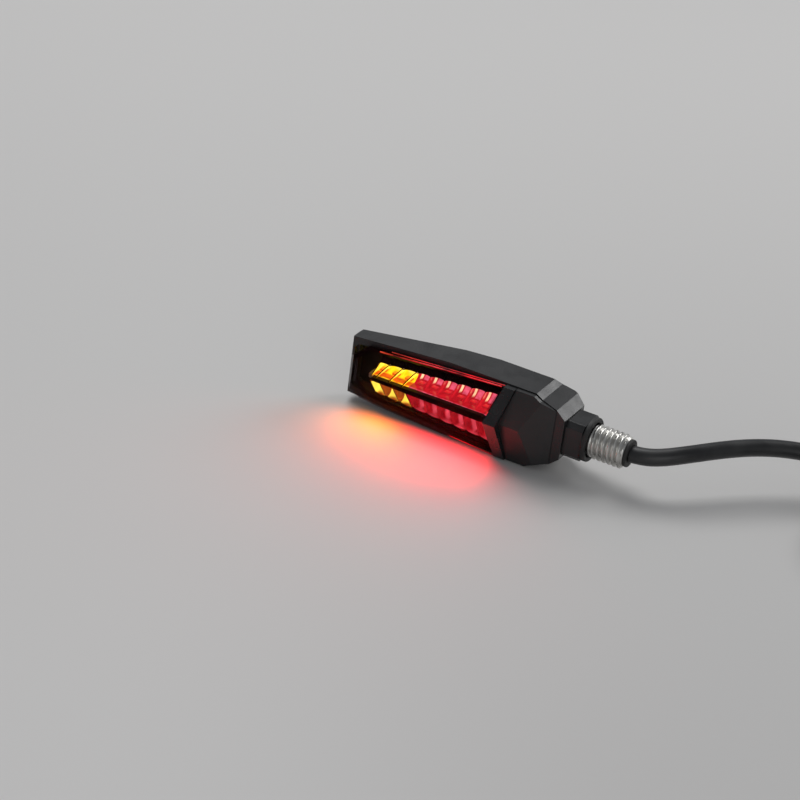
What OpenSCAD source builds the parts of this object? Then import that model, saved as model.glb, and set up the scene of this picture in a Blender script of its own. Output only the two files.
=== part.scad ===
// Motorcycle LED lamp: tail, brake and turn signal in one, on a hollow M8 stud.
// Origin: the stud's axis at the washer's outer face, where the stud enters the motorcycle.
// +X runs along the stud away from the lamp, -Y is the way the light shines, +Z is up.

/* [Housing] */
// Length from the lamp's tip to the end of its mounting arm
body_length = 60; // [59:0.5:62]
// Height of the housing at its stem end
body_height = 18.4; // [18:0.2:19]
// Height of the housing at its tip
tip_height = 14.4; // [13.8:0.2:15]
// Reach of the housing's back behind the stud's axis
back_depth = 6; // [5.5:0.25:7]
// Thickness of the housing's walls
wall = 1.6; // [1.4:0.1:1.8]

/* [Mounting] */
// Diameter of the mounting stud's thread
stud_d = 8; // [7.8:0.1:8.2]
// Free length of the mounting stud
stud_length = 8.5; // [8:0.5:12]
// Thickness of the rubber washer
washer_t = 1.2; // [1:0.1:1.6]
// Length of the arm's visible block
arm_length = 4.3; // [4.2:0.1:4.8]
// Width and height of the arm
arm_size = 9; // [8.8:0.1:9.2]

/* [Lens] */
// Reach of the lens's ridge in front of the stud's axis
ridge_reach = 10; // [9.5:0.1:10.5]
// Reach of the lens's long edges in front of the stud's axis
edge_reach = 6.9; // [6.7:0.1:7.1]
// Thickness of the lens
lens_t = 1.1; // [1:0.1:1.2]
// Thickness of the gasket under the lens
gasket_t = 0.4; // [0.3:0.1:0.5]

/* [Light] */
// Number of reflector cells in each row
cell_count = 9; // [9]
// Number of amber cells at the tip end of each row
amber_count = 3; // [1:1:8]
// Distance between two cells
cell_pitch = 3.35; // [3.25:0.05:3.35]
// Lean of the cells towards the stem, away from the board
cell_lean = 18; // [0:2:18]
// Thickness of the LED board
board_t = 1; // [0.8:0.2:1.2]

/* [Cable] */
// Diameter of the sheathed cable
cable_d = 4; // [3.8:0.1:4]
// Turns' mean radius in the coil
coil_r = 20; // [20]

/* [Hidden] */
$fn = 48;
eps = 0.01;
half_h = body_height / 2;
floor_z = -half_h;
arm_x = -washer_t;
rim_y = -5.2;              // the housing's front rim, which the gasket lies on
lens_back = rim_y - gasket_t;
step_reach = 8;            // ridge of the housing's nose beside the chevron trim
step_edge = 6.4;
last_cell = 24.2;         // the last cell's distance from the arm's end
cavity_end = 19.8;
socket = 8;                // square tongue of the arm in the housing
socket_end = 10;
cable_bore = 4.2;
shank_d = 6;               // the stud's plain end, held in the arm
shank_depth = 4.2;
washer_bore = stud_d + 0.2;
bushing_d = 5.6;
bushing_depth = 3;
grub_d = 3;
arm_grub = 7.4;            // the grub screws' distances from the arm's end
stud_grub = 2.4;
screw_d = 1.6;
screw_places = [[26, 1.4], [44, -0.2]]; // the board screws, as distance and y
resistor_places = [29:1.7:34];
chip_places = [36, 47];
lead_offset = 0.9;         // the four leads' offset from the cable's axis
cell_d = 2.9;
led_y = -3.8;
coil_centre = [75, 16];
plug_place = [94, 24, -0.7]; // where the cable enters the connector

// The cable from the stud to the coil
cable_route = [
    [9.3, 0, 0], [11.5, 0.2, 0.1], [14, 1.1, 0.3], [16.5, 2.8, 0.6], [19, 5.1, 1], [21.5, 7.8, 1.3],
    [24.5, 11.3, 1.6], [28, 15.3, 1.8], [32, 19.4, 1.8], [36, 22.9, 1.5], [40, 25.8, 1],
    [44, 28.1, 0.3], [48, 29.9, -0.5], [52, 31.1, -1.3], [56, 31.8, -2], [60, 32, -2.7],
    [64, 32, -3.2]
];
// The cable from the coil to the connector, which lies on the coil
tail_route = [
    [90.4, 32.8, -3.2], [91.4, 31.6, -2.9], [92.9, 29, -2], [93.7, 26.5, -1.2], [94, 24, -0.7]
];

// Distance d from the arm's end towards the lamp's tip, as an x value
function along(d) = arm_x - d;
function upside_down(points) = [for (i = [len(points) - 1:-1:0]) [points[i][0], -points[i][1]]];
function both_sides(points) = concat(points, upside_down(points));

// Outlines. t is how far they lie inside the outer faces.
function side_outline(t) = both_sides([
    [along(body_length - t), tip_height / 2 - 1 - t], [along(body_length - 1 - t), tip_height / 2 - t],
    [along(34), half_h - t], [along(12), half_h - t], [along(10.3), half_h - 1 - t],
    [along(6.6), half_h - 2.3 - t], [along(arm_length), 4.9 - t]
]);
function plan_outline(t) = [
    [along(body_length - t), -1], [along(12), back_depth - t], [along(6.6), back_depth - 0.4 - t],
    [along(arm_length), 4.9 - t], [along(arm_length), rim_y], [along(body_length - 1 - t), rim_y]
];
function lens_outline(t) = both_sides([
    [along(body_length - 2 - t), 3.3 - t / 2], [along(54.5 - t / 2), 6.2 - t],
    [along(49), 6.9 - t], [along(19.4) - t, half_h - 0.4 - t], [along(22.1) - t, 0.01]
]);
function roof(edge, ridge, half, back) = [
    [back, -half], [-edge, -half], [-ridge, 0], [-edge, half], [back, half]
];

module xz(y0, y1) { translate([0, y1, 0]) rotate([90, 0, 0]) linear_extrude(y1 - y0) children(); }
module yz(x0, x1) {
    translate([x0, 0, 0]) rotate([90, 0, 90]) linear_extrude(x1 - x0) children();
}
module xy(z0, z1) { translate([0, 0, z0]) linear_extrude(z1 - z0) children(); }
module rod(d, x0, x1) { translate([x0, 0, 0]) rotate([0, 90, 0]) cylinder(d = d, h = x1 - x0); }
module block(x0, x1, y0, y1, z0, z1) {
    translate([x0, y0, z0]) cube([x1 - x0, y1 - y0, z1 - z0]);
}

// A tube swept along a route, its sections kept upright
module sweep(route, d, sides = 10) {
    n = len(route);
    function unit(v) = v / norm(v);
    function heading(i) = unit(route[min(i + 1, n - 1)] - route[max(i - 1, 0)]);
    function level(i) = unit(cross([0, 0, 1], heading(i)));
    function upright(i) = cross(heading(i), level(i));
    points = [for (i = [0:n - 1], k = [0:sides - 1])
        route[i] + d / 2 * (cos(360 * k / sides) * level(i) + sin(360 * k / sides) * upright(i))];
    walls = [for (i = [0:n - 2], k = [0:sides - 1])
        [i * sides + k, (i + 1) * sides + k, (i + 1) * sides + (k + 1) % sides,
         i * sides + (k + 1) % sides]];
    start_cap = [[for (k = [0:sides - 1]) k]];
    end_cap = [[for (k = [sides - 1:-1:0]) (n - 1) * sides + k]];
    polyhedron(points, concat(walls, start_cap, end_cap), convexity = 10);
}

module body_solid(t) {
    intersection() {
        xz(-12, 12) polygon(side_outline(t));
        xy(-12, 12) polygon(plan_outline(t));
        yz(along(68), 0) polygon([
            [-12, -half_h], [back_depth - 2, -half_h], [back_depth + eps, -half_h + 2.4],
            [back_depth + eps, half_h - 2.4], [back_depth - 2, half_h], [-12, half_h]
        ]);
    }
}

// The nose between the chevron trim and the arm
module nose() {
    intersection() {
        yz(along(20), along(6.6)) polygon(roof(step_edge, step_reach, half_h - 0.3, rim_y + 1));
        xz(-12, 0) polygon(both_sides([
            [along(19), 0.01], [along(16.6), half_h - 0.3], [along(12), half_h - 0.3],
            [along(10.3), half_h - 1.2], [along(6.6), half_h - 2.5]
        ]));
        xy(-12, 12) polygon([
            [along(20), 0], [along(6.6), 0], [along(6.6), -5.4], [along(14), -step_reach],
            [along(20), -step_reach - 1]
        ]);
    }
}

// Whatever stands at each board screw's place, from height z up
module at_board_screws(z) {
    for (place = screw_places) translate([along(place[0]), place[1], z]) children();
}

module board_posts() {
    at_board_screws(floor_z + wall) cylinder(d = 2 * screw_d, h = half_h - wall - board_t / 2);
}

module housing_shell() {
    color([0.07, 0.07, 0.075]) difference() {
        union() {
            difference() {
                body_solid(0);
                intersection() {
                    body_solid(wall);
                    block(along(body_length), along(cavity_end), -20, 20, -20, 20);
                }
                intersection() {
                    xz(rim_y - 1, rim_y + 1) polygon(side_outline(wall));
                    block(along(body_length), along(cavity_end), -20, 20, -20, 20);
                }
            }
            nose();
            intersection() {
                board_posts();
                body_solid(wall / 2);
            }
        }
        rod(cable_bore, along(cavity_end + 1), 0);
        block(along(socket_end), along(arm_length) + 1, -socket / 2, socket / 2, -socket / 2, socket / 2);
        translate([along(arm_grub), 0, floor_z]) cylinder(d = grub_d, h = half_h - socket / 2 + eps);
        at_board_screws(-4) cylinder(d = screw_d, h = 4);
    }
}

module mounting_arm() {
    r = arm_size / 2;
    bevel = 1.2;
    color([0.08, 0.08, 0.085]) difference() {
        union() {
            yz(along(arm_length), arm_x) polygon([
                [-r, -r + bevel], [-r + bevel, -r], [r - bevel, -r], [r, -r + bevel],
                [r, r - bevel], [r - bevel, r], [-r + bevel, r], [-r, r - bevel]
            ]);
            block(along(socket_end), along(arm_length), -socket / 2, socket / 2, -socket / 2, socket / 2);
        }
        rod(cable_bore, along(socket_end + 1), 1);
        rod(shank_d, along(shank_depth), 1);
        translate([along(arm_grub), 0, -socket / 2 - eps]) cylinder(d = grub_d, h = 1.4);
        translate([along(stud_grub), 0, -r - eps]) cylinder(d = grub_d, h = r - shank_d / 2 + 0.1);
    }
}

// A grub screw with a hexagon socket, its point up
module grub(length) {
    difference() {
        cylinder(d = grub_d, h = length);
        translate([0, 0, -eps]) cylinder(d = 1.7, h = 0.9, $fn = 6);
    }
}

module arm_grub_screw() {
    start = 3;             // how far it sits inside the housing's underside
    color([0.55, 0.55, 0.57]) translate([along(arm_grub), 0, floor_z + start])
        grub(half_h - start - socket / 2 + 1.3);
}

module stud_grub_screw() {
    color([0.55, 0.55, 0.57]) translate([along(stud_grub), 0, -arm_size / 2 + 0.1])
        grub(arm_size / 2 - shank_d / 2 - 0.1);
}

module mounting_stud() {
    color([0.62, 0.62, 0.64]) difference() {
        union() {
            rod(shank_d, along(shank_depth), 0);
            rod(stud_d, 0, stud_length);
        }
        rod(cable_bore, along(shank_depth + 1), stud_length + 1);
        rod(bushing_d, stud_length - bushing_depth, stud_length + 1);
    }
}

module rubber_washer() {
    color([0.05, 0.05, 0.05]) difference() {
        rod(10.4, arm_x, 0);
        rod(washer_bore, arm_x - 1, 1);
    }
}

module cable_bushing() {
    color([0.05, 0.05, 0.05]) difference() {
        union() {
            rod(bushing_d, stud_length - bushing_depth, stud_length);
            rod(bushing_d + 0.8, stud_length, stud_length + 0.8);
        }
        rod(cable_d, 0, stud_length + 2);
    }
}

module lens_solid(t) {
    intersection() {
        yz(along(68), along(18)) polygon(
            roof(edge_reach - t, ridge_reach - t, half_h - 0.4 - t, lens_back + (t > 0 ? 1 : 0)));
        xz(-12, 0) polygon(lens_outline(t));
        xy(-12, 12) polygon([
            [along(body_length - 1.4 - t), 0], [along(body_length - 1.4 - t), lens_back],
            [along(body_length - 2 - t), -7], [along(56.8 - t), -8.6 + t / 2],
            [along(53.4), -ridge_reach + t], [along(18), -ridge_reach + t], [along(18), 0]
        ]);
    }
}

module lens() {
    color([0.25, 0.12, 0.12, 0.5]) difference() {
        lens_solid(0);
        lens_solid(lens_t);
    }
}

module lens_gasket() {
    color([0.04, 0.04, 0.04]) xz(lens_back, rim_y) difference() {
        polygon(lens_outline(0));
        polygon(lens_outline(lens_t));
    }
}

module chevron_trim() {
    color([0.06, 0.06, 0.065]) intersection() {
        yz(along(23), along(15)) polygon(roof(edge_reach, ridge_reach, half_h - 0.3, rim_y));
        xz(-12, rim_y) polygon(both_sides([
            [along(22.1), 0.01], [along(19.4), half_h - 0.3], [along(16.7), half_h - 0.3],
            [along(19), 0.01]
        ]));
    }
}

module centre_rib() {
    color([0.05, 0.05, 0.05]) xz(-8.6, -7.2) polygon(both_sides([
        [along(51.6), 0.45], [along(23.6), 0.8], [along(22.5), 0.6]
    ]));
}

// One row of cells, above the board. Each is a dish round its LED, open to the front.
module reflector() {
    front = lens_back;
    difference() {
        intersection() {
            block(along(54), along(20), front, -1.9, board_t / 2 + 0.2, half_h - 2);
            xz(-12, 0) polygon(side_outline(2.6));
            xz(-12, 0) polygon([
                [along(53.3), 0], [along(50), 9], [along(20.4), 9], [along(20.4), 6.5], [along(22.6), 0]
            ]);
        }
        for (i = [0:cell_count - 1]) {
            d = last_cell + cell_pitch * (cell_count - 1 - i);
            roof_z = half_h - 4.8 - (d - last_cell) * 0.07;
            translate([along(d), led_y, board_t / 2]) rotate([0, cell_lean, 0]) {
                translate([0, 0, -1]) cylinder(d = cell_d, h = roof_z + 1);
                translate([0, 0, roof_z]) sphere(d = cell_d);
                translate([0, 0, roof_z]) rotate([90, 0, 0]) cylinder(d = cell_d, h = 6);
                translate([-cell_d / 2, -6, -1]) cube([cell_d, 6, roof_z + 1]);
            }
        }
    }
}

module upper_reflector() { color([0.75, 0.75, 0.77]) reflector(); }

module lower_reflector() { color([0.75, 0.75, 0.77]) mirror([0, 0, 1]) reflector(); }

module led_board() {
    color([0.85, 0.85, 0.82]) difference() {
        xy(-board_t / 2, board_t / 2) polygon([
            [along(53), -7.2], [along(22.5), -7.2], [along(22.5), 3.2], [along(53), -1.2]
        ]);
        at_board_screws(-board_t) cylinder(d = screw_d, h = 2 * board_t);
    }
}

// The LEDs of cells first to last, on the board's upper face
module leds(first, last) {
    for (i = [first:last]) {
        x = along(last_cell + cell_pitch * (cell_count - 1 - i));
        block(x - 0.9, x + 0.9, led_y - 0.8, led_y + 0.8, board_t / 2, board_t / 2 + 0.7);
    }
}

module upper_amber_leds() { color([1, 0.75, 0.1]) leds(0, amber_count - 1); }

module upper_red_leds() { color([1, 0.15, 0.25]) leds(amber_count, cell_count - 1); }

module lower_amber_leds() { color([1, 0.75, 0.1]) mirror([0, 0, 1]) leds(0, amber_count - 1); }

module lower_red_leds() {
    color([1, 0.15, 0.25]) mirror([0, 0, 1]) leds(amber_count, cell_count - 1);
}

module board_resistors() {
    color([0.1, 0.1, 0.1]) for (d = resistor_places) {
        block(along(d + 1.1), along(d), -1.3, 0.7, board_t / 2, board_t / 2 + 0.5);
        block(along(d + 1.1), along(d), -1.3, 0.7, -board_t / 2 - 0.5, -board_t / 2);
    }
}

module driver_chips() {
    color([0.08, 0.08, 0.08]) for (d = chip_places)
        block(along(d + 4.4), along(d), -1.7, -0.1, board_t / 2, board_t / 2 + 1.2);
}

module board_screws() {
    head = 2.8;
    color([0.7, 0.7, 0.72]) {
        at_board_screws(-3.9) cylinder(d = screw_d, h = 3.9 + board_t / 2);
        at_board_screws(board_t / 2) cylinder(d = head, h = 0.8);
    }
}

module inner_cable() { color([0.06, 0.06, 0.06]) rod(cable_d, along(21.6), stud_length + 0.8); }

module inner_leads() {
    color([0.7, 0.1, 0.1]) for (y = [-lead_offset, lead_offset], z = [-lead_offset, lead_offset])
        translate([0, y, z]) rod(0.7, along(25.4), along(21.6));
}

module solder_joints() {
    color([0.78, 0.78, 0.8]) for (y = [-lead_offset, lead_offset], s = [0, 1])
        mirror([0, 0, s]) translate([along(26), y, board_t / 2])
            cylinder(d1 = 1.3, d2 = 0.7, h = 0.6, $fn = 24);
}

module cable() { color([0.05, 0.05, 0.05]) sweep(cable_route, cable_d); }

// Two turns side by side on the floor
module cable_coil() {
    color([0.05, 0.05, 0.05]) translate([coil_centre[0], coil_centre[1], floor_z])
        rotate_extrude($fn = 96) translate([coil_r - 6, 0]) union() {
            translate([2, 0]) square([8, 4]);
            translate([2, 2]) circle(d = 4);
            translate([10, 2]) circle(d = 4);
        }
}

module cable_tail() { color([0.05, 0.05, 0.05]) sweep(tail_route, cable_d); }

// Connector pieces are drawn along +X from where the cable enters
module on_plug() { translate(plug_place) rotate([0, 0, -90]) children(); }

module connector_seal() {
    color([0.75, 0.3, 0.12]) on_plug() rod(6.4, 0, 2);
}

module connector_body() {
    color([0.08, 0.08, 0.08]) on_plug() difference() {
        union() {
            block(2, 10, -4.2, 4.2, -4.5, 4.1);
            block(10, 16, -3.6, 3.6, -3.6, 3.6);
        }
        block(11, 17, -2.8, 2.8, -2.8, 2.8);
    }
}

module connector_latch() {
    color([0.1, 0.1, 0.1]) on_plug() {
        block(4, 14, -1.3, 1.3, 4.7, 5.4);
        block(4, 6, -1.3, 1.3, 4.1, 4.7);
        block(12.5, 14, -1.3, 1.3, 5.4, 5.8);
    }
}

module connector_pins() {
    color([0.8, 0.7, 0.4]) on_plug() for (y = [-1.3, 1.3], z = [-1.3, 1.3])
        translate([0, y, z]) rod(1, 9, 15.2);
}

housing_shell();
mounting_arm();
arm_grub_screw();
stud_grub_screw();
mounting_stud();
rubber_washer();
cable_bushing();
lens();
lens_gasket();
chevron_trim();
centre_rib();
upper_reflector();
lower_reflector();
led_board();
upper_amber_leds();
upper_red_leds();
lower_amber_leds();
lower_red_leds();
board_resistors();
driver_chips();
board_screws();
inner_cable();
inner_leads();
solder_joints();
cable();
cable_coil();
cable_tail();
connector_seal();
connector_body();
connector_latch();
connector_pins();
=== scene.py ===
"""A motorcycle tail light with turn signal, lit, lying on a pale floor.

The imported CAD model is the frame, in metres: the stud's axis is +X, the light shines along -Y, and
+Z is up. Sizes below are in millimetres, and mm() turns them into metres.
"""
import math
from types import SimpleNamespace

import bmesh
import bpy
from mathutils import Matrix, Vector


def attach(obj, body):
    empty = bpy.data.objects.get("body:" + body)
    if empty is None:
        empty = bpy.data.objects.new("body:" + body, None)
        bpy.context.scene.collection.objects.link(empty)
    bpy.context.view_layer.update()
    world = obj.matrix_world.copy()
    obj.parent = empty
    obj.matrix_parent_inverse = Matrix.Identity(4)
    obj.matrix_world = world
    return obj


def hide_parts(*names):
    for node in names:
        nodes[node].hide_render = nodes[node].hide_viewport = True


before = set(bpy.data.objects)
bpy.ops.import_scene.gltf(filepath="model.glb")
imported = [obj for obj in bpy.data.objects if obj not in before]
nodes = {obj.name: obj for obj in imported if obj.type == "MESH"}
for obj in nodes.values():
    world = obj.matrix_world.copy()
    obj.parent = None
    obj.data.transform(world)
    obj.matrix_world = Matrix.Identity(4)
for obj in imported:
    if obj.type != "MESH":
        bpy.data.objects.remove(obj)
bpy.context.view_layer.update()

# Driving sizes, as in the CAD model, in millimetres
ARM_X = -1.2  # the arm's end, where distances towards the tip are measured from
FLOOR_Z = -9.2
CELLS = 9
AMBER_CELLS = 3
PITCH = 3.35
LAST_CELL = 24.2  # the last cell's distance from the arm's end
BOARD_TOP = 0.5
LED_Y = -3.8
STUD_R = 4.0
STUD_LENGTH = 8.5
SHANK_R = 3.0  # the stud's plain end, held in the arm
SHANK_DEPTH = 4.2
CABLE_BORE_R = 2.1
BUSHING_R = 2.8
BUSHING_DEPTH = 3.0
CABLE_D = 4.0
COIL_CENTRE = (75.0, 16.0)
PLUG = (94.0, 24.0, -0.7)  # where the cable enters the connector, which points along -Y

# Sizes of what only the Blender pieces have, in millimetres
THREAD_PITCH = 1.25
THREAD_DEPTH = 0.62
ROOT_R = 3.7  # the stud's radius where it enters the washer
CHAMFER = 0.8  # length of the chamfer at the stud's mouth
LEAN = 0.38  # how far the cells lean towards the stem for each unit of height above the board
FOOT = 0.62  # height of the reflector's foot plate
TIP_END = 51.9  # distance from the arm's end where the housing's tip cuts the first cell short
MOUTH_TOP = 6.1  # height of the mouths' upper edge at the last cell
MOUTH_FALL = 0.075  # and how much lower it gets for each unit of length towards the tip
DISH_BACK_Y = -2.0
DISH_WALL = 0.2
CELL_FRONT_Y = -8.65  # just inside the lens's ridge
LENS_SLOPE = 0.4  # how far the lens falls back for each unit of height
FIN_SLANT = 1.3  # how far the foot of a fin between the upper amber cells is moved to the tip
FIN_CUT = 2.2  # how far the foot of a red cell's fin is set back
COIL_R = 16.0  # the first turn's radius
TURNS = 2


def mm(*values):
    """Millimetres as metres: one number, or a tuple."""
    scaled = tuple(0.001 * v for v in values)
    return scaled[0] if len(scaled) == 1 else scaled


def along(distance):
    """The x of a point that far from the arm's end, towards the tip, in millimetres."""
    return ARM_X - distance


def smooth(t):
    """A soft step: 0 up to t = 0, and 1 from t = 1."""
    t = min(max(t, 0.0), 1.0)
    return t * t * (3 - 2 * t)


def angles(steps, offset=0.0):
    """That many angles, evenly round a circle."""
    return [2 * math.pi * (k + offset) / steps for k in range(steps)]


def put_in_scene(name, data):
    """A new object that shows data."""
    thing = bpy.data.objects.new(name, data)
    bpy.context.scene.collection.objects.link(thing)
    return thing


# ---------------------------------------------------------------- camera and light


def place_camera():
    """The photograph's viewing angle: from the front, a little above and to the stud's side."""
    azimuth, elevation, roll = math.radians(25.7), math.radians(28.0), math.radians(7.6)
    target = Vector(mm(-42.7, -13.0, 0.0))
    distance = mm(600)
    back = Vector(
        (
            math.sin(azimuth) * math.cos(elevation),
            -math.cos(azimuth) * math.cos(elevation),
            math.sin(elevation),
        )
    )
    right = Matrix.Rotation(roll, 3, back) @ Vector((math.cos(azimuth), math.sin(azimuth), 0.0))
    up = back.cross(right)
    data = bpy.data.cameras.new("camera")
    data.lens = 119.6
    data.sensor_width = 36.0
    data.clip_start = 0.01
    camera = put_in_scene("camera", data)
    place = Matrix((right, up, back)).transposed().to_4x4()
    place.translation = target + distance * back
    camera.matrix_world = place
    bpy.context.scene.camera = camera


def area_light(name, place, aim, size, power, colour=(1, 1, 1)):
    """A square lamp at place that shines on aim, both in metres."""
    data = bpy.data.lights.new(name, "AREA")
    data.energy = power
    data.color = colour
    data.size = size
    lamp = put_in_scene(name, data)
    lamp.location = place
    lamp.rotation_euler = (Vector(aim) - Vector(place)).to_track_quat("-Z", "Y").to_euler()
    return lamp


def light_studio():
    """A pale world, and three large soft lamps, with their places and sizes in metres."""
    world = bpy.data.worlds.new("studio")
    world.use_nodes = True
    background = world.node_tree.nodes["Background"]
    set_inputs(background, {"Color": (0.75, 0.78, 0.82, 1), "Strength": 0.26})
    bpy.context.scene.world = world
    for name, place, size, power in [
        ("key", (-0.35, 0.25, 0.6), 0.45, 2.7),
        ("fill", (0.55, -0.68, 0.28), 0.55, 1.3),
        ("rim", (0.25, 0.6, 0.35), 0.3, 1.5),
    ]:
        area_light(name, place, mm(-25, 0, 0), size, power)


def glow_lights():
    """What the lit cells cast forwards and down through the lens."""
    behind_lens, floor_ahead = (-8.0, -1.0), (-30.0, -14.0)  # y and z
    for name, middle, width, colour, power in [
        ("amber_glow", 48, 9, (1.0, 0.27, 0.02), 0.011),
        ("red_glow", 32, 20, (1.0, 0.03, 0.035), 0.030),
    ]:
        place, aim = mm(along(middle), *behind_lens), mm(along(middle), *floor_ahead)
        lamp = area_light(name, place, aim, mm(width), power, colour)
        lamp.data.shape = "RECTANGLE"
        lamp.data.size_y = mm(3.0)
        lamp.data.spread = math.radians(150)
        lamp.visible_camera = False
        lamp.visible_glossy = False


def make_floor():
    """A pale sheet that reaches 3 m to each side."""
    reach, z = 3.0, mm(FLOOR_Z)
    corners = [(-reach, -reach, z), (reach, -reach, z), (reach, reach, z), (-reach, reach, z)]
    mesh = bpy.data.meshes.new("floor")
    mesh.from_pydata(corners, [], [(0, 1, 2, 3)])
    floor = put_in_scene("floor", mesh)
    material, shader, _ = new_material("floor_paper")
    set_inputs(shader, {"Base Color": (0.62, 0.61, 0.60, 1), "Roughness": 0.42})
    mesh.materials.append(material)


# ---------------------------------------------------------------- shader nodes


def new_material(name):
    """A material, its main shader and its node tree."""
    material = bpy.data.materials.new(name)
    material.use_nodes = True
    tree = material.node_tree
    return material, tree.nodes["Principled BSDF"], tree


def set_inputs(node, values):
    """Constants for a node's inputs, by their names."""
    for key, value in values.items():
        node.inputs[key].default_value = value


def feed(tree, socket, value):
    """A socket gets a constant, or a link from another socket."""
    if isinstance(value, bpy.types.NodeSocket):
        tree.links.new(value, socket)
    else:
        socket.default_value = value


def add_node(tree, kind, inputs, **settings):
    """A node with constants for its inputs, and with its own settings."""
    node = tree.nodes.new(kind)
    for key, value in settings.items():
        setattr(node, key, value)
    set_inputs(node, inputs)
    return node


def noise(tree, scale, detail=3.0):
    """Noise over the piece's own coordinates, with scale in features per metre."""
    place = tree.nodes.new("ShaderNodeTexCoord")
    texture = add_node(tree, "ShaderNodeTexNoise", {"Scale": scale, "Detail": detail})
    tree.links.new(place.outputs["Object"], texture.inputs["Vector"])
    return texture.outputs["Fac"]


def axis_value(tree, axis):
    """The piece's own x, y or z, in metres."""
    place = tree.nodes.new("ShaderNodeTexCoord")
    split = tree.nodes.new("ShaderNodeSeparateXYZ")
    tree.links.new(place.outputs["Object"], split.inputs["Vector"])
    return split.outputs[axis]


def math_node(tree, operation, *values):
    """What the operation makes of values, which are constants or sockets."""
    node = add_node(tree, "ShaderNodeMath", {}, operation=operation)
    for socket, value in zip(node.inputs, values):
        feed(tree, socket, value)
    return node.outputs["Value"]


def product(tree, *factors):
    """All factors multiplied. The first is a socket, the others are sockets or constants."""
    total = factors[0]
    for factor in factors[1:]:
        total = math_node(tree, "MULTIPLY", total, factor)
    return total


def ramp(tree, value, start, end, low=0.0, high=1.0, kind="LINEAR"):
    """low where value is start, high where it is end, and in between in between."""
    limits = {"From Min": start, "From Max": end, "To Min": low, "To Max": high}
    node = add_node(tree, "ShaderNodeMapRange", limits, interpolation_type=kind)
    tree.links.new(value, node.inputs["Value"])
    return node.outputs["Result"]


def soft_step(tree, value, start, end):
    """0 where value is start, 1 where it is end, with a smooth change between."""
    return ramp(tree, value, start, end, kind="SMOOTHSTEP")


def spread(tree, grain, low, high):
    """Noise, which is about 0.3 to 0.7, mapped to low..high."""
    return ramp(tree, grain, 0.3, 0.7, low, high)


def oval(tree, x, middle_x, half_x, y, middle_y, half_y):
    """1 in the middle of an ellipse and 0 outside it, with a soft border."""
    parts = []
    for value, middle, half in ((x, middle_x, half_x), (y, middle_y, half_y)):
        reach = ramp(tree, value, middle, middle + half)
        back = ramp(tree, value, middle, middle - half)
        parts.append(math_node(tree, "POWER", math_node(tree, "MAXIMUM", reach, back), 2.0))
    return soft_step(tree, math_node(tree, "ADD", *parts), 1.0, 0.55)


def mix_colour(tree, factor, first, second):
    """first where factor is 0, and second where it is 1. Each is a constant or a socket."""
    mix = add_node(tree, "ShaderNodeMix", {}, data_type="RGBA")
    sockets = mix.inputs[0], mix.inputs[6], mix.inputs[7]  # the ones that colours use
    for socket, value in zip(sockets, (factor, first, second)):
        feed(tree, socket, value)
    return mix.outputs[2]


def layered(tree, base, *layers):
    """base with each (factor, colour) of layers mixed over it in turn."""
    for factor, colour in layers:
        base = mix_colour(tree, factor, base, colour)
    return base


def bump(tree, shader, height, strength, distance):
    """height bumps the shader's surface, by up to distance, in metres."""
    node = add_node(tree, "ShaderNodeBump", {"Strength": strength, "Distance": distance})
    tree.links.new(height, node.inputs["Height"])
    tree.links.new(node.outputs["Normal"], shader.inputs["Normal"])


# ---------------------------------------------------------------- plain materials


def rough_material(name, dark, light, rough, grain, depth, **inputs):
    """A solid material: colour and roughness vary in soft blotches, and a fine grain bumps it.

    rough is the least and the most roughness, grain the grains per metre, and depth their depth
    in millimetres. Other inputs of the shader go by their names, with _ for a space.
    """
    material, shader, tree = new_material(name)
    set_inputs(shader, {key.replace("_", " "): value for key, value in inputs.items()})
    patches = noise(tree, 220.0)
    colour = mix_colour(tree, spread(tree, patches, 0, 1), (*dark, 1), (*light, 1))
    tree.links.new(colour, shader.inputs["Base Color"])
    tree.links.new(spread(tree, patches, *rough), shader.inputs["Roughness"])
    bump(tree, shader, noise(tree, grain, 4.0), 0.5, mm(depth))
    return material


def cast_black():
    """Black coat on a casting: satin, with the casting's faint orange peel."""
    return rough_material(
        "black_coat", (0.009, 0.009, 0.0095), (0.014, 0.014, 0.015), (0.33, 0.46), 2600, 0.06,
        Specular_IOR_Level=0.45, Coat_Weight=0.12, Coat_Roughness=0.25,
    )


def zinc_steel():
    return rough_material(
        "zinc_steel", (0.46, 0.45, 0.43), (0.66, 0.65, 0.62), (0.22, 0.38), 3000, 0.012,
        Metallic=1.0,
    )


def black_rubber():
    return rough_material(
        "washer_rubber", (0.012, 0.012, 0.012), (0.024, 0.023, 0.022), (0.55, 0.72), 3500, 0.03
    )


def gloss_plastic():
    return rough_material(
        "gloss_black_plastic", (0.010, 0.010, 0.011), (0.018, 0.018, 0.019), (0.18, 0.30), 3200,
        0.012,
    )


def dull_plastic():
    """Dark plastic beside the cells, which reflects little of their light."""
    return rough_material(
        "dull_dark_plastic", (0.014, 0.004, 0.004), (0.022, 0.006, 0.006), (0.45, 0.6), 3200,
        0.012, Specular_IOR_Level=0.15,
    )


def cable_sheath():
    return rough_material(
        "cable_pvc", (0.012, 0.012, 0.013), (0.024, 0.024, 0.025), (0.34, 0.5), 1800, 0.03
    )


def seal_rubber():
    return rough_material(
        "seal_rubber", (0.42, 0.11, 0.03), (0.52, 0.16, 0.05), (0.5, 0.65), 2500, 0.02
    )


def board_white():
    return rough_material(
        "board_mask", (0.62, 0.61, 0.58), (0.74, 0.73, 0.70), (0.3, 0.45), 2500, 0.01
    )


def chip_epoxy():
    return rough_material(
        "chip_epoxy", (0.02, 0.02, 0.02), (0.04, 0.04, 0.04), (0.4, 0.6), 3000, 0.01
    )


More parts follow.
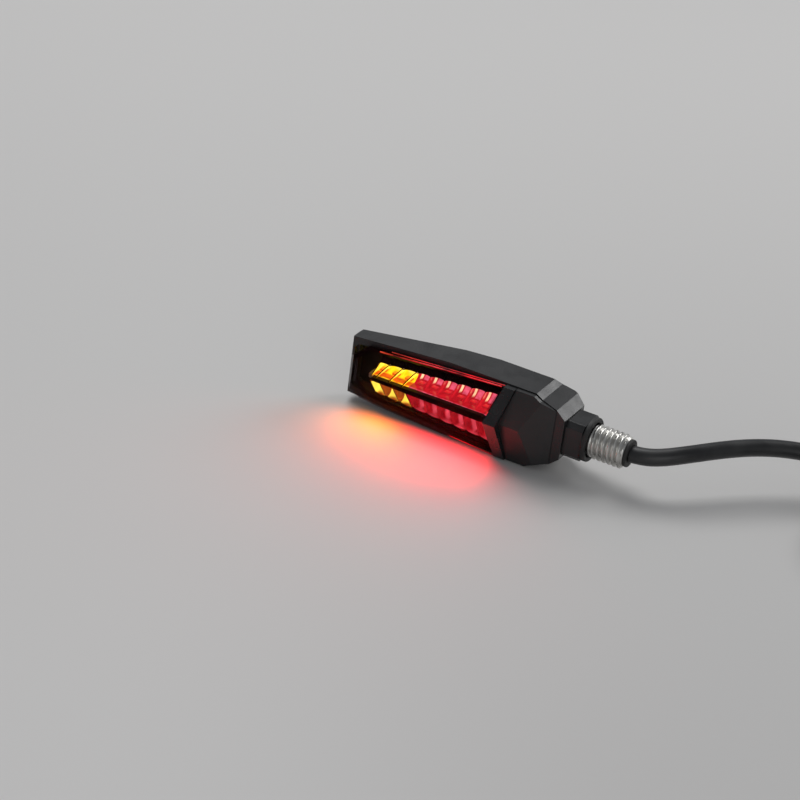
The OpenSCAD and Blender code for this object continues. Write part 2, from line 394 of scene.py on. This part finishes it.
def solder_tin():
    return rough_material(
        "solder", (0.6, 0.6, 0.62), (0.8, 0.8, 0.82), (0.2, 0.35), 2500, 0.02, Metallic=1.0
    )


def pin_metal():
    return rough_material(
        "pin_metal", (0.70, 0.56, 0.28), (0.82, 0.70, 0.40), (0.2, 0.35), 2500, 0.01, Metallic=1.0
    )


def lead_red():
    return rough_material(
        "lead_red", (0.4, 0.02, 0.02), (0.5, 0.04, 0.03), (0.4, 0.5), 2500, 0.01
    )


def smoked_lens():
    """Smoked clear plastic: what is behind shows through it, and it mirrors more at a slant."""
    material, shader, tree = new_material("smoked_lens")
    clear = add_node(tree, "ShaderNodeBsdfTransparent", {"Color": (0.72, 0.62, 0.63, 1)})
    gloss = {
        "Base Color": (0.012, 0.004, 0.005, 1),
        "Roughness": 0.07,
        "Specular IOR Level": 0.5,
        "Specular Tint": (1.0, 0.75, 0.75, 1),
    }
    set_inputs(shader, gloss)
    bump(tree, shader, noise(tree, 400.0, 2.0), 0.2, mm(0.02))
    slant = add_node(tree, "ShaderNodeLayerWeight", {"Blend": 0.5})
    part = ramp(tree, math_node(tree, "POWER", slant.outputs["Facing"], 4.0), 0, 1, 0.05, 1)
    mix = tree.nodes.new("ShaderNodeMixShader")
    tree.links.new(part, mix.inputs["Fac"])
    tree.links.new(clear.outputs["BSDF"], mix.inputs[1])
    tree.links.new(shader.outputs["BSDF"], mix.inputs[2])
    tree.links.new(mix.outputs["Shader"], tree.nodes["Material Output"].inputs["Surface"])
    return material


# ---------------------------------------------------------------- lit materials

# Light on the reflectors, from dark to bright
AMBER_DARK = (0.12, 0.008, 0.002, 1)
AMBER_LOW = (0.74, 0.11, 0.006, 1)
AMBER = (1.0, 0.76, 0.010, 1)
AMBER_HOT = (1.0, 0.92, 0.09, 1)
RED_DARK = (0.13, 0.002, 0.004, 1)
RED_LOW = (0.42, 0.010, 0.018, 1)
RED = (0.70, 0.12, 0.20, 1)
ROSE = (0.60, 0.07, 0.10, 1)
RED_HOT = (1.0, 0.74, 0.40, 1)


def cell_place(tree):
    """Sockets that say where a point is in its reflector cell.

    across runs from 0 to 1 over each cell, rise from 0 on the board to 1 at the mouth's top, and
    y is in metres. wall is 1 above the foot plate, edge at the mouth's top, is_red in red cells.
    """
    tip, border, stem = (
        along(LAST_CELL + PITCH * (cells - 0.5)) for cells in (CELLS, CELLS - AMBER_CELLS, 0)
    )
    row = mm(tip, stem)
    height = math_node(tree, "ABSOLUTE", axis_value(tree, "Z"))
    above = math_node(tree, "SUBTRACT", height, mm(BOARD_TOP))
    x = math_node(tree, "SUBTRACT", axis_value(tree, "X"), product(tree, above, LEAN))
    top = ramp(tree, x, *row, *mm(mouth_top(tip), mouth_top(stem)))
    rise = math_node(tree, "DIVIDE", height, top)
    return SimpleNamespace(
        across=math_node(tree, "FRACT", ramp(tree, x, *row, 0.0, CELLS)),
        rise=rise,
        y=axis_value(tree, "Y"),
        wall=soft_step(tree, height, mm(FOOT + 0.05), mm(FOOT + 0.5)),
        edge=soft_step(tree, rise, 0.94, 1.0),
        is_red=math_node(tree, "GREATER_THAN", x, mm(border)),
    )


def upper_light(tree, at, blotches, patches):
    """The upper dishes' painted amber and red light: bright panels, painted highlight streaks, and a
    painted lit lip at the front.
    """
    near_wall = soft_step(tree, at.y, mm(-5.2), mm(-4.2))
    dish = math_node(tree, "MAXIMUM", at.wall, near_wall)
    # painted hot spot in the middle of each amber dish
    centre = oval(tree, at.across, 0.5, 0.46, at.rise, 0.6, 0.45)
    corner = ramp(tree, math_node(tree, "PINGPONG", at.across, 0.5), 0.22, 0.06)
    # painted light on the foot plate's front lip
    lip = product(tree, soft_step(tree, at.y, mm(-6.75), mm(-6.95)), patches)
    amber = layered(
        tree, AMBER_DARK,
        (blotches, AMBER_LOW),
        (dish, AMBER),
        (product(tree, centre, blotches), AMBER_HOT),
        # painted glints at each amber mouth's top corners
        (product(tree, at.edge, corner), RED_HOT),
        (lip, AMBER),
    )
    panel = product(
        tree,
        soft_step(tree, at.across, 0.26, 0.36),
        soft_step(tree, at.across, 0.94, 0.84),
        at.wall,
        blotches,
    )
    # painted highlight: a pale streak by each red cell's wall towards the tip
    streak = product(
        tree,
        soft_step(tree, at.across, 0.08, 0.12),
        soft_step(tree, at.across, 0.25, 0.20),
        soft_step(tree, at.rise, 0.18, 0.36),
    )
    red = layered(
        tree, RED_DARK,
        (blotches, RED_LOW),
        (panel, RED),
        (math_node(tree, "MAXIMUM", streak, product(tree, at.edge, 0.6)), RED_HOT),
        (lip, RED),
    )
    return amber, red


def lower_light(tree, at, blotches, patches):
    """The lower dishes' painted amber and red light: the light gathers in each dish, with dark
    between.
    """
    side = soft_step(tree, at.across, 0.05, 0.09)
    below_edge = soft_step(tree, at.rise, 1.0, 0.93)
    leaf = oval(tree, at.across, 0.42, 0.36, at.rise, 0.55, 0.46)
    amber = layered(
        tree, AMBER_DARK,
        (product(tree, patches, 0.3), AMBER_LOW),
        # painted hot light on the amber dishes' walls
        (product(tree, side, at.wall, below_edge), AMBER_HOT),
    )
    red = layered(
        tree, RED_DARK,
        (product(tree, patches, 0.8), RED_LOW),
        (product(tree, leaf, blotches), ROSE),
        # painted glow along the mouth's top edge
        (product(tree, at.edge, 0.5), ROSE),
    )
    return amber, red


def lit_mirror(name, light):
    """The reflector cells' metal coat, with the LEDs' light painted into its emission: amber cells
    at the tip, red ones beyond.
    """
    material, shader, tree = new_material(name)
    set_inputs(shader, {"Metallic": 1.0, "Base Color": (0.05, 0.03, 0.03, 1)})
    ripple = noise(tree, 900.0, 2.0)
    tree.links.new(spread(tree, ripple, 0.10, 0.22), shader.inputs["Roughness"])
    bump(tree, shader, ripple, 0.35, mm(0.08))
    at = cell_place(tree)
    # painted light: the LEDs' glow on the dishes is brighter and dimmer in blotches and patches
    blotches = spread(tree, ripple, 0.55, 1.2)
    patches = spread(tree, noise(tree, 1500.0, 2.0), 0.0, 1.0)
    amber, red = light(tree, at, blotches, patches)
    tree.links.new(mix_colour(tree, at.is_red, amber, red), shader.inputs["Emission Color"])
    strength = 2.7
    uneven = spread(tree, noise(tree, 500.0, 2.0), 0.8 * strength, 1.2 * strength)
    tree.links.new(uneven, shader.inputs["Emission Strength"])
    return material


def led_glow(name, colour, strength):
    """A lit part of an LED, in a grain of two brightnesses."""
    material, shader, tree = new_material(name)
    set_inputs(shader, {"Base Color": (0.12, 0.05, 0.04, 1), "Roughness": 0.35})
    dimmer = (*(0.7 * part for part in colour[:3]), 1)
    tint = mix_colour(tree, spread(tree, noise(tree, 2500.0, 2.0), 0, 1), dimmer, colour)
    tree.links.new(tint, shader.inputs["Emission Color"])
    shader.inputs["Emission Strength"].default_value = strength
    return material


def rim_glow():
    """The lens's rim, painted glowing with the LEDs' light: orange at the tip, red towards the stem.
    """
    material, shader, tree = new_material("rim_glow")
    set_inputs(shader, {"Base Color": (0.3, 0.02, 0.03, 1), "Roughness": 0.25})
    stemward = ramp(tree, axis_value(tree, "X"), mm(along(51)), mm(along(38)))
    colour = mix_colour(tree, stemward, (1.0, 0.10, 0.03, 1), (0.8, 0.012, 0.018, 1))
    tree.links.new(colour, shader.inputs["Emission Color"])
    # painted glow, brighter and dimmer along the rim
    streak = spread(tree, noise(tree, 260.0, 4.0), 0.0, 1.425)
    tree.links.new(streak, shader.inputs["Emission Strength"])
    return material


# ---------------------------------------------------------------- making pieces


def add_piece(name, verts, faces, materials, replaced=(), merge=True):
    """A piece of the lamp from points in millimetres. merge joins the points that coincide."""
    mesh = bpy.data.meshes.new(name)
    mesh.from_pydata([mm(*v) for v in verts], [], faces)
    mesh.validate()
    work = bmesh.new()
    work.from_mesh(mesh)
    if merge:
        bmesh.ops.remove_doubles(work, verts=work.verts, dist=1e-7)
    bmesh.ops.recalc_face_normals(work, faces=work.faces)
    work.to_mesh(mesh)
    work.free()
    for face in mesh.polygons:
        face.use_smooth = True
    for material in materials:
        mesh.materials.append(material)
    piece = put_in_scene(name, mesh)
    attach(piece, "root")
    if replaced:
        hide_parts(*replaced)
    return piece


def paint(piece, owners):
    """Each face gets the material whose index is in owners."""
    for polygon, owner in zip(piece.data.polygons, owners):
        polygon.material_index = owner


def mark_sharp(piece, degrees):
    """Smooth shading that breaks at edges sharper than this."""
    mesh = piece.data
    work = bmesh.new()
    work.from_mesh(mesh)
    for edge in work.edges:
        if len(edge.link_faces) == 2 and edge.calc_face_angle(0) > math.radians(degrees):
            edge.smooth = False
    work.to_mesh(mesh)
    work.free()


def grid_faces(rows, columns, start=0, closed=False):
    """Quads over a grid of rows x columns points. closed joins the last column to the first."""
    faces = []
    for i in range(rows - 1):
        for j in range(columns if closed else columns - 1):
            a, b = start + i * columns + j, start + i * columns + (j + 1) % columns
            faces.append((a, b, b + columns, a + columns))
    return faces


def shifted(points, dx, dy, dz):
    """The same points, moved."""
    return [(x + dx, y + dy, z + dz) for x, y, z in points]


def add_slab(mesh, rows, backs, front_owner, owner):
    """A closed thin solid between a grid of points and its backs, which mesh's lists receive.

    front_owner is the material index of the grid's own side, and owner that of the others.
    """
    verts, faces, owners = mesh
    start, columns = len(verts), len(rows[0])
    for row, back in zip(rows, backs):
        verts.extend(row + back[::-1])
    around = 2 * columns
    for index, face in enumerate(grid_faces(len(rows), around, start, closed=True)):
        faces.append(face)
        owners.append(front_owner if index % around < columns - 1 else owner)
    for first in (start, len(verts) - around):
        last = first + around - 1
        for k in range(columns - 1):
            faces.append((first + k, first + k + 1, last - 1 - k, last - k))
            owners.append(owner)


def dress(node_name, material, bevel=0.0):
    """A CAD node keeps its shape: it gets a material and, where bevel is set, rounded edges."""
    node = nodes[node_name]
    node.data.materials.clear()
    node.data.materials.append(material)
    if not bevel:
        return
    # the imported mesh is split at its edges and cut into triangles, so both are undone first
    node.modifiers.new("weld", "WELD").merge_threshold = 1e-7
    flatten = node.modifiers.new("flatten", "DECIMATE")
    flatten.decimate_type = "DISSOLVE"
    flatten.angle_limit = math.radians(0.5)
    rounding = node.modifiers.new("round", "BEVEL")
    rounding.width = mm(bevel)
    rounding.segments = 3
    rounding.limit_method = "ANGLE"
    rounding.angle_limit = math.radians(20)
    # where the bevel has no room its strips have no width: their points are joined again
    node.modifiers.new("join", "WELD").merge_threshold = 2e-6
    if node.data.polygons[0].use_smooth:
        node.modifiers.new("shade", "WEIGHTED_NORMAL")


# ---------------------------------------------------------------- the threaded stud


def thread_radius(x, turn):
    """The stud's radius at x and a turn angle: a helical thread with cut-back ends."""
    phase = (x / THREAD_PITCH - turn / (2 * math.pi)) % 1.0
    ridge = 1.0 - abs(2 * phase - 1.0)
    crest = min(1.25 * ridge, 1.0)  # the thread's top is flat
    full = STUD_R - THREAD_DEPTH * (1.0 - crest)
    run_in = ROOT_R + (full - ROOT_R) * smooth((x - 0.1) / 0.7)
    chamfer = STUD_R - 0.9 * max(0.0, x - (STUD_LENGTH - CHAMFER))
    return min(run_in, chamfer)


def make_stud(material):
    """The stud: its thread from the washer to the mouth, then its bore, and its shank's outside."""
    around, rows = 72, 100
    rings = []
    for i in range(rows + 1):
        x = STUD_LENGTH * i / rows
        rings.append((x, [thread_radius(x, turn) for turn in angles(around)]))
    mouth, seat, end = STUD_LENGTH, STUD_LENGTH - BUSHING_DEPTH, along(SHANK_DEPTH)
    for x, radius in [
        (mouth, BUSHING_R + 0.15),
        (mouth - 0.25, BUSHING_R),
        (seat, BUSHING_R),
        (seat, CABLE_BORE_R),
        (end, CABLE_BORE_R),
        (end, SHANK_R - 0.1),
        (end + 0.1, SHANK_R),
        (0.0, SHANK_R),
        (0.0, ROOT_R),
    ]:
        rings.append((x, [radius] * around))
    verts = []
    for x, radii in rings:
        for turn, radius in zip(angles(around), radii):
            verts.append((x, radius * math.cos(turn), radius * math.sin(turn)))
    faces = grid_faces(len(rings), around, closed=True)
    stud = add_piece("threaded_stud", verts, faces, [material], ["mounting_stud"])
    mark_sharp(stud, 40)


# ---------------------------------------------------------------- reflector cells and LEDs
# Each cell is a scallop-shaped dish behind a mouth, with fins between the cells.

MIRROR, DULL = 0, 1  # indices of the cells' materials


def cell_x(i):
    """The middle of cell i, counted from the tip."""
    return along(LAST_CELL + PITCH * (CELLS - 1 - i))


def within_tip(x):
    """x, or the place where the housing's tip cuts the cells short."""
    return max(x, along(TIP_END))


def lean(z):
    """How far a point at height z is moved towards the stem."""
    return LEAN * (abs(z) - BOARD_TOP)


def mouth_top(x):
    """Height of the mouths' upper edge, which falls towards the tip."""
    return MOUTH_TOP - (along(LAST_CELL) - x) * MOUTH_FALL


def front_y(z):
    """The y of what ends just inside the lens's sloping face at height z."""
    return CELL_FRONT_Y + abs(z) * LENS_SLOPE


def wall_point(x, u):
    """The deepest line of the dish at x, from its foot (u = 0) to its mouth (u = 1), as y and z."""
    top = mouth_top(x)
    bend = math.pi / 2 * u
    y = front_y(top) + (DISH_BACK_Y - front_y(top)) * math.cos(bend) ** 0.9
    return y, FOOT + (top - FOOT) * math.sin(bend)


def side_point(x, u):
    """The line where two dishes meet at x, which lies further forward and ends lower."""
    forward, drop = 0.5, 0.45
    y, z = wall_point(x, u)
    return y + (front_y(mouth_top(x)) - y) * forward, z - drop * math.sin(math.pi / 2 * u)


def dish_point(i, u, v):
    """A point of cell i's dish. u goes from its foot to its mouth, v across it, -1 to 1."""
    x = within_tip(cell_x(i) + PITCH / 2 * math.sin(math.pi / 2 * v))
    deep_y, deep_z = wall_point(x, u)
    edge_y, edge_z = side_point(x, u)
    bow = 1.0 - math.cos(math.pi / 2 * v)
    z = deep_z + (edge_z - deep_z) * bow
    return x + lean(z), deep_y + (edge_y - deep_y) * bow, z


def add_cell(mesh, i):
    """Cell i's dish, the land round its mouth, and its foot plate."""
    steps = 14
    dish = [
        [dish_point(i, u / steps, 2 * v / steps - 1) for v in range(steps + 1)]
        for u in range(steps + 1)
    ]
    backs = [shifted(row, 0, DISH_WALL, DISH_WALL) for row in dish]
    add_slab(mesh, dish, backs, MIRROR, MIRROR)
    # the land goes from the mouth's scalloped edge back to the housing's wall
    edge = dish[-1]
    outer = [(x, y + 1.2, mouth_top(cell_x(i)) + 1.15) for x, y, _ in edge]
    land = [edge, shifted(edge, 0, -0.1, 0.15), outer]
    add_slab(mesh, land, [shifted(row, 0, 0.3, -0.05) for row in land], DULL, DULL)
    # the plate ends at the front in a lip that bends down
    across = [within_tip(cell_x(i) + half * PITCH / 2) for half in (-1, 0, 1)]
    plate = [
        [(x, y, FOOT - drop) for x in across]
        for y, drop in ((DISH_BACK_Y, 0), (-4.6, 0), (-7.0, 0), (-7.15, 0.05), (-7.19, 0.1))
    ]
    add_slab(mesh, plate, [shifted(row, 0, 0.05, -0.12) for row in plate], MIRROR, MIRROR)


def add_fin(mesh, x, edge_owner, cut, slant):
    """A thin wall between two cells, from the line where they meet to just behind the lens.

    cut is how far its foot is set back, and slant how far its foot is moved towards the tip.
    """
    half = 0.14 if slant else 0.10
    fronts, backs = [], []
    for u in (k / 10 for k in range(11)):
        back, z = wall_point(x, u) if slant else side_point(x, u)
        front = min(front_y(z) + cut * (1 - u) ** 1.5, back - 0.05)
        at = x + lean(z) - slant * (1 - u)
        fronts.append([(at - half, front, z), (at + half, front, z)])
        backs.append([(at - half, back, z), (at + half, back, z)])
    add_slab(mesh, fronts, backs, edge_owner, MIRROR)


def make_cells(row, side, materials):
    """One row of cells, with materials for the mirror coat and the dull land.

    side is 1 above the board and -1 below. The amber cells' fins have dull edges and reach the
    lens at their feet too.
    """
    mesh = [], [], []
    for i in range(CELLS):
        add_cell(mesh, i)
    for i in range(CELLS + 1):
        x = within_tip(cell_x(0) + PITCH * (i - 0.5))
        if i > AMBER_CELLS:
            add_fin(mesh, x, MIRROR, FIN_CUT, 0.0)
        else:
            add_fin(mesh, x, DULL, 0.0, FIN_SLANT if side > 0 and i else 0.0)
    verts, faces, owners = mesh
    verts = [(x, y, side * z) for x, y, z in verts]
    piece = add_piece(
        f"{row}_cells", verts, faces, materials, [f"{row}_reflector"], merge=False
    )
    paint(piece, owners)
    mark_sharp(piece, 50)


# An LED package's outline from the board up: height, half width in x, half width in y, material
LED_BODY, LED_WINDOW = 0, 1
LED_LEVELS = [
    (0.0, 0.90, 0.80, LED_BODY),
    (0.42, 0.90, 0.80, LED_BODY),
    (0.50, 0.84, 0.74, LED_BODY),
    (0.50, 0.70, 0.60, LED_BODY),
    (0.52, 0.68, 0.58, LED_WINDOW),
    (0.62, 0.58, 0.48, LED_WINDOW),
    (0.68, 0.36, 0.30, LED_WINDOW),
    (0.70, 0.02, 0.02, LED_WINDOW),
]


def squircle(x, y, z, half_x, half_y, steps):
    """A rounded rectangle's points, at height z."""
    points = []
    for turn in angles(steps, 0.5):
        c, s = math.cos(turn), math.sin(turn)
        over = half_x * math.copysign(abs(c) ** 0.35, c), half_y * math.copysign(abs(s) ** 0.35, s)
        points.append((x + over[0], y + over[1], z))
    return points


def make_leds(row, side, colour, cells, materials):
    """LED packages, with materials for the body, which has bevelled edges, and the domed window."""
    steps = 24
    verts, faces, owners = [], [], []
    for i in cells:
        start = len(verts)
        for height, half_x, half_y, _ in LED_LEVELS:
            z = side * (BOARD_TOP + height)
            verts.extend(squircle(cell_x(i), LED_Y, z, half_x, half_y, steps))
        faces.extend(grid_faces(len(LED_LEVELS), steps, start, closed=True))
        for *_, owner in LED_LEVELS[1:]:
            owners.extend([owner] * steps)
        faces.extend([range(start, start + steps), range(len(verts) - steps, len(verts))])
        owners.extend([LED_BODY, LED_WINDOW])
    name = f"{row}_{colour}"
    piece = add_piece(name, verts, faces, materials, [f"{name}_leds"])
    paint(piece, owners)
    mark_sharp(piece, 50)


# ---------------------------------------------------------------- the lens's lit edges


def add_bead(name, points, radius, material):
    """A solid round strip along points, with closed ends."""
    steps = 10
    path = [Vector(p) for p in points]
    verts = []
    for i, point in enumerate(path):
        ahead = (path[min(i + 1, len(path) - 1)] - path[max(i - 1, 0)]).normalized()
        side = Vector((0, 1, 0)).cross(ahead).normalized()
        up = ahead.cross(side)
        for turn in angles(steps):
            verts.append(tuple(point + radius * (math.cos(turn) * side + math.sin(turn) * up)))
    faces = grid_faces(len(path), steps, closed=True)
    faces.extend([range(steps), range(len(verts) - steps, len(verts))])
    add_piece(name, verts, faces, [material])


def make_lens_edges():
    """The lens's rim carries light, painted as thin glowing beads along its long edges."""
    material = rim_glow()
    for place, points, radius in [
        ("upper_front", [(51, -6.92, 6.55), (38, -6.75, 7.5), (20, -6.75, 8.72)], 0.16),
        ("upper_back", [(48.5, -5.9, 6.9), (34, -5.9, 7.85), (19.6, -5.9, 8.78)], 0.10),
        ("lower_front", [(31, -6.75, -7.98), (20, -6.75, -8.72)], 0.08),
    ]:
        path = [(along(distance), y, z) for distance, y, z in points]
        add_bead(f"lens_edge_{place}", path, radius, material)


# ---------------------------------------------------------------- the cable

# The cable from the stud's mouth to the coil, its landing, and its end from coil to connector
CABLE_ROUTE = [
    (9.3, 0, 0),
    (11.5, 0.2, 0.1),
    (14, 1.1, 0.3),
    (16.5, 2.8, 0.6),
    (19, 5.1, 1),
    (21.5, 7.8, 1.3),
    (24.5, 11.3, 1.6),
    (28, 15.3, 1.8),
    (32, 19.4, 1.8),
    (36, 22.9, 1.5),
    (40, 25.8, 1),
    (44, 28.1, 0.3),
    (48, 29.9, -0.5),
    (52, 31.1, -1.3),
    (56, 31.8, -2),
    (60, 32, -2.7),
    (64, 32, -3.2),
]
LANDING = [(68, 32.05, -3.9), (72, 32.05, -5.2)]
TAIL_ROUTE = [
    (78, 39.9, -6.7),
    (81.2, 39.2, -5.9),
    (84.2, 38, -5.1),
    (87, 36.2, -4.3),
    (89.2, 34.2, -3.6),
    (90.4, 32.8, -3.2),
    (91.4, 31.6, -2.9),
    (92.9, 29, -2),
    (93.7, 26.5, -1.2),
    (94, 24, -0.7),
]


def coil_points():
    """Two turns side by side on the floor, from the inside out, clockwise from above.

    The first turn starts a millimetre up and comes down within its first tenth.
    """
    per_turn = 32
    points = []
    for i in range(TURNS * per_turn + 1):
        turns = i / per_turn
        angle = math.pi / 2 - 2 * math.pi * turns
        radius = COIL_R + CABLE_D * 1.01 * turns
        x, y = COIL_CENTRE[0] + radius * math.cos(angle), COIL_CENTRE[1] + radius * math.sin(angle)
        points.append((x, y, FLOOR_Z + CABLE_D / 2 + 1.0 - smooth(turns / 0.09)))
    return points


def make_cable(material):
    """The whole cable as one curve, in metres, with the connector at its far end."""
    points = CABLE_ROUTE + LANDING + coil_points() + TAIL_ROUTE
    data = bpy.data.curves.new("cable_run", "CURVE")
    data.dimensions = "3D"
    spline = data.splines.new("NURBS")
    spline.points.add(len(points) - 1)
    for point, place in zip(spline.points, points):
        point.co = (*mm(*place), 1.0)
    spline.order_u = 3
    spline.use_endpoint_u = True
    spline.resolution_u = 4
    data.bevel_depth = mm(CABLE_D / 2)
    data.bevel_resolution = 6
    data.use_fill_caps = True
    data.materials.append(material)
    run = put_in_scene("cable_run", data)
    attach(run, "root")
    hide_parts("cable", "cable_coil", "cable_tail")
    make_seal()


def make_seal():
    """The connector's seal, a ring round the cable with three ribs."""
    around = 48
    bore, groove, crest, length = 2.0, 2.8, 3.2, 2.0
    rib = [(0.0, groove), (0.12, crest - 0.05), (0.25, crest), (0.4, crest - 0.05), (0.5, groove)]
    profile = [(0.0, bore), (0.0, groove - 0.1)]
    for start in (0.15, 0.75, 1.35):
        profile.extend((start + distance, radius) for distance, radius in rib)
    profile += [(length, groove - 0.1), (length, bore), (0.0, bore)]
    x, y, z = PLUG
    verts = []
    for distance, radius in profile:
        for turn in angles(around):
            verts.append((x + radius * math.cos(turn), y - distance, z + radius * math.sin(turn)))
    faces = grid_faces(len(profile), around, closed=True)
    material = seal_rubber()
    return add_piece("ribbed_seal", verts, faces, [material], ["connector_seal"])


# ---------------------------------------------------------------- building


def dress_nodes(steel, sheath, dull):
    """The CAD nodes that stay, with the width of their bevels in millimetres."""
    black, plastic, rubber, chip = cast_black(), gloss_plastic(), black_rubber(), chip_epoxy()
    dress("housing_shell", black, 0.35)
    dress("mounting_arm", black, 0.3)
    dress("chevron_trim", plastic, 0.22)
    dress("centre_rib", dull, 0.12)
    dress("lens", smoked_lens(), 0.18)
    dress("lens_gasket", dull)
    dress("rubber_washer", rubber, 0.25)
    dress("cable_bushing", rubber, 0.2)
    dress("arm_grub_screw", steel, 0.1)
    dress("stud_grub_screw", steel, 0.1)
    dress("led_board", board_white())
    dress("board_resistors", chip, 0.08)
    dress("driver_chips", chip, 0.1)
    dress("board_screws", steel, 0.1)
    dress("inner_cable", sheath)
    dress("inner_leads", lead_red())
    dress("solder_joints", solder_tin())
    dress("connector_body", plastic, 0.4)
    dress("connector_latch", plastic, 0.15)
    dress("connector_pins", pin_metal(), 0.15)


def make_pieces(steel, sheath, dull):
    """The detailed pieces, most of which stand for a CAD node."""
    make_stud(steel)
    make_cells("upper", 1, [lit_mirror("lit_mirror", upper_light), dull])
    make_cells("lower", -1, [lit_mirror("leaf_lit_mirror", lower_light), dull])
    amber = [
        led_glow("amber_body", AMBER_LOW, 2.4),
        led_glow("amber_window", (1.0, 0.30, 0.012, 1), 2.7),
    ]
    red = [
        led_glow("red_body", RED_LOW, 2.4),
        led_glow("red_window", (0.55, 0.012, 0.02, 1), 3.0),
    ]
    for row, side in (("upper", 1), ("lower", -1)):
        make_leds(row, side, "amber", range(AMBER_CELLS), amber)
        make_leds(row, side, "red", range(AMBER_CELLS, CELLS), red)
    make_lens_edges()
    make_cable(sheath)


bpy.context.scene.view_settings.view_transform = "Standard"
place_camera()
light_studio()
glow_lights()
make_floor()
steel, sheath, dull = zinc_steel(), cable_sheath(), dull_plastic()
dress_nodes(steel, sheath, dull)
make_pieces(steel, sheath, dull)
